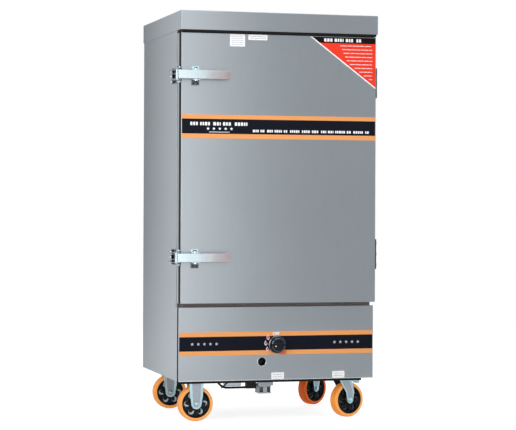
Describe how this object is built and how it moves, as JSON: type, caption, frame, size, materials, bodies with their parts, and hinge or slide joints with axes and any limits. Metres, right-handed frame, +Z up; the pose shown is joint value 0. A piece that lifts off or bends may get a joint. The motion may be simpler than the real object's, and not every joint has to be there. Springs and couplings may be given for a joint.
{
  "type": "rice steamer cabinet",
  "caption": "Tall gas-heated steaming cabinet in brushed sheet steel with a latched side-hinged door, a stack of trays inside, a knob panel and casters.",
  "frame": {"origin": "on the floor under the middle of the assembly's outline", "axes": "+X to the right seen from the front, +Y from the front to the back, +Z up"},
  "size_m": [0.7501, 0.716, 1.45],
  "materials": {
    "brushed_stainless": "brushed sheet",
    "satin_stainless": "satin sheet",
    "zinc_steel": "zinc plated",
    "bright_plate": "bright plated",
    "galvanised_pipe": "galvanised",
    "heat_sheet": "aluminised sheet, dull",
    "tray_aluminium": "satin",
    "insulation_wool": "mineral wool",
    "seal_rubber": "matte",
    "pipe_black": "black enamel",
    "cast_burner": "as cast",
    "valve_brass": "machined",
    "knob_black": "moulded",
    "hub_black": "moulded",
    "tyre_orange": "matte",
    "float_plastic": "moulded",
    "lever_red": "dipped"
  },
  "bodies": {
    "cabinet": {"left_side_panel": "brushed_stainless", "right_side_panel": "brushed_stainless", "back_panel": "satin_stainless", "top_cover": "brushed_stainless", "base_frame": "zinc_steel", "chamber_liner": "satin_stainless", "insulation": "insulation_wool", "water_tank": "satin_stainless", "steam_deck": "satin_stainless", "left_tray_rack": "satin_stainless", "right_tray_rack": "satin_stainless", "rice_trays": "tray_aluminium", "steam_vent": "satin_stainless", "control_panel": "brushed_stainless", "gas_cock": "valve_brass", "gas_inlet_pipe": "galvanised_pipe", "gas_outlet_pipe": "galvanised_pipe", "gas_feed_pipe": "pipe_black", "burner": "cast_burner", "burner_mixer": "galvanised_pipe", "mixer_bracket": "zinc_steel", "fire_box": "heat_sheet", "flue_duct": "heat_sheet", "float_box": "satin_stainless", "float_box_cover": "satin_stainless", "float_valve": "valve_brass", "drain_pipe": "galvanised_pipe", "hinge_frame_leaves": "bright_plate", "hinge_pins": "bright_plate", "latch_keepers": "bright_plate", "keeper_rollers": "bright_plate", "rigid_caster_forks": "zinc_steel", "rigid_caster_axles": "zinc_steel", "swivel_caster_plates": "zinc_steel"},
    "door": {"door_skin": "brushed_stainless", "door_liner": "satin_stainless", "door_foam": "insulation_wool", "door_gasket": "seal_rubber", "hinge_door_leaves": "bright_plate", "latch_brackets": "bright_plate", "latch_pins": "bright_plate"},
    "upper_latch": {"upper_latch_lever": "bright_plate"},
    "lower_latch": {"lower_latch_lever": "bright_plate"},
    "knob_push": {"knob_spring_seat": "zinc_steel"},
    "knob": {"control_knob": "knob_black", "knob_spindle": "valve_brass"},
    "left_front_wheel": {"left_front_wheel_hub": "hub_black", "left_front_tyre": "tyre_orange"},
    "left_rear_wheel": {"left_rear_wheel_hub": "hub_black", "left_rear_tyre": "tyre_orange"},
    "right_front_swivel": {"right_front_swivel_fork": "zinc_steel"},
    "right_rear_swivel": {"right_rear_swivel_fork": "zinc_steel"},
    "right_front_wheel": {"right_front_wheel_hub": "hub_black", "right_front_tyre": "tyre_orange"},
    "right_rear_wheel": {"right_rear_wheel_hub": "hub_black", "right_rear_tyre": "tyre_orange"},
    "right_front_brake": {"right_front_brake_pedal": "zinc_steel"},
    "right_rear_brake": {"right_rear_brake_pedal": "zinc_steel"},
    "float": {"float_arm": "float_plastic"},
    "drain_valve": {"drain_lever": "lever_red"}
  },
  "joints": [
    {"name": "door_swing", "type": "hinge", "parent": "cabinet", "child": "door", "pos_m": [0.3645, -0.267, 0.9], "axis": [0, 0, 1], "range_deg": [0, 180]},
    {"name": "upper_latch_turn", "type": "hinge", "parent": "door", "child": "upper_latch", "pos_m": [-0.309, -0.343, 1.225], "axis": [0, 0, -1], "range_deg": [0, 14]},
    {"name": "lower_latch_turn", "type": "hinge", "parent": "door", "child": "lower_latch", "pos_m": [-0.309, -0.343, 0.585], "axis": [0, 0, -1], "range_deg": [0, 14]},
    {"name": "knob_press", "type": "slide", "parent": "cabinet", "child": "knob_push", "axis": [0, 1, 0], "range_m": [0, 0.003], "stiffness_N_per_m": 800, "springref_m": -0.003},
    {"name": "knob_turn", "type": "hinge", "parent": "knob_push", "child": "knob", "pos_m": [-0.002, -0.306, 0.2745], "axis": [0, -1, 0], "range_deg": [-111, 0]},
    {"name": "left_front_roll", "type": "hinge", "parent": "cabinet", "child": "left_front_wheel", "pos_m": [-0.278, -0.218, 0.0625], "axis": [0, 1, 0], "continuous": true},
    {"name": "left_rear_roll", "type": "hinge", "parent": "cabinet", "child": "left_rear_wheel", "pos_m": [-0.278, 0.2, 0.0625], "axis": [0, 1, 0], "continuous": true},
    {"name": "right_front_swivel_turn", "type": "hinge", "parent": "cabinet", "child": "right_front_swivel", "pos_m": [0.272, -0.218, 0.14], "axis": [0, 0, 1], "continuous": true},
    {"name": "right_front_roll", "type": "hinge", "parent": "right_front_swivel", "child": "right_front_wheel", "pos_m": [0.29113, -0.21215, 0.0625], "axis": [-0.2924, 0.9563, 0], "continuous": true},
    {"name": "right_front_brake_press", "type": "hinge", "parent": "right_front_swivel", "child": "right_front_brake", "pos_m": [0.30451, -0.20806, 0.1305], "axis": [-0.2924, 0.9563, 0], "range_deg": [0, 12]},
    {"name": "right_rear_swivel_turn", "type": "hinge", "parent": "cabinet", "child": "right_rear_swivel", "pos_m": [0.272, 0.2, 0.14], "axis": [0, 0, 1], "continuous": true},
    {"name": "right_rear_roll", "type": "hinge", "parent": "right_rear_swivel", "child": "right_rear_wheel", "pos_m": [0.28932, 0.21, 0.0625], "axis": [-0.5, 0.866, 0], "continuous": true},
    {"name": "right_rear_brake_press", "type": "hinge", "parent": "right_rear_swivel", "child": "right_rear_brake", "pos_m": [0.30145, 0.217, 0.1305], "axis": [-0.5, 0.866, 0], "range_deg": [0, 12]},
    {"name": "float_rise", "type": "hinge", "parent": "cabinet", "child": "float", "pos_m": [0.232, 0.324, 0.438], "axis": [0, -1, 0], "range_deg": [0, 20]},
    {"name": "drain_turn", "type": "hinge", "parent": "cabinet", "child": "drain_valve", "pos_m": [0.255, 0.321, 0.2334], "axis": [0, 0, -1], "range_deg": [0, 90]}
  ]
}
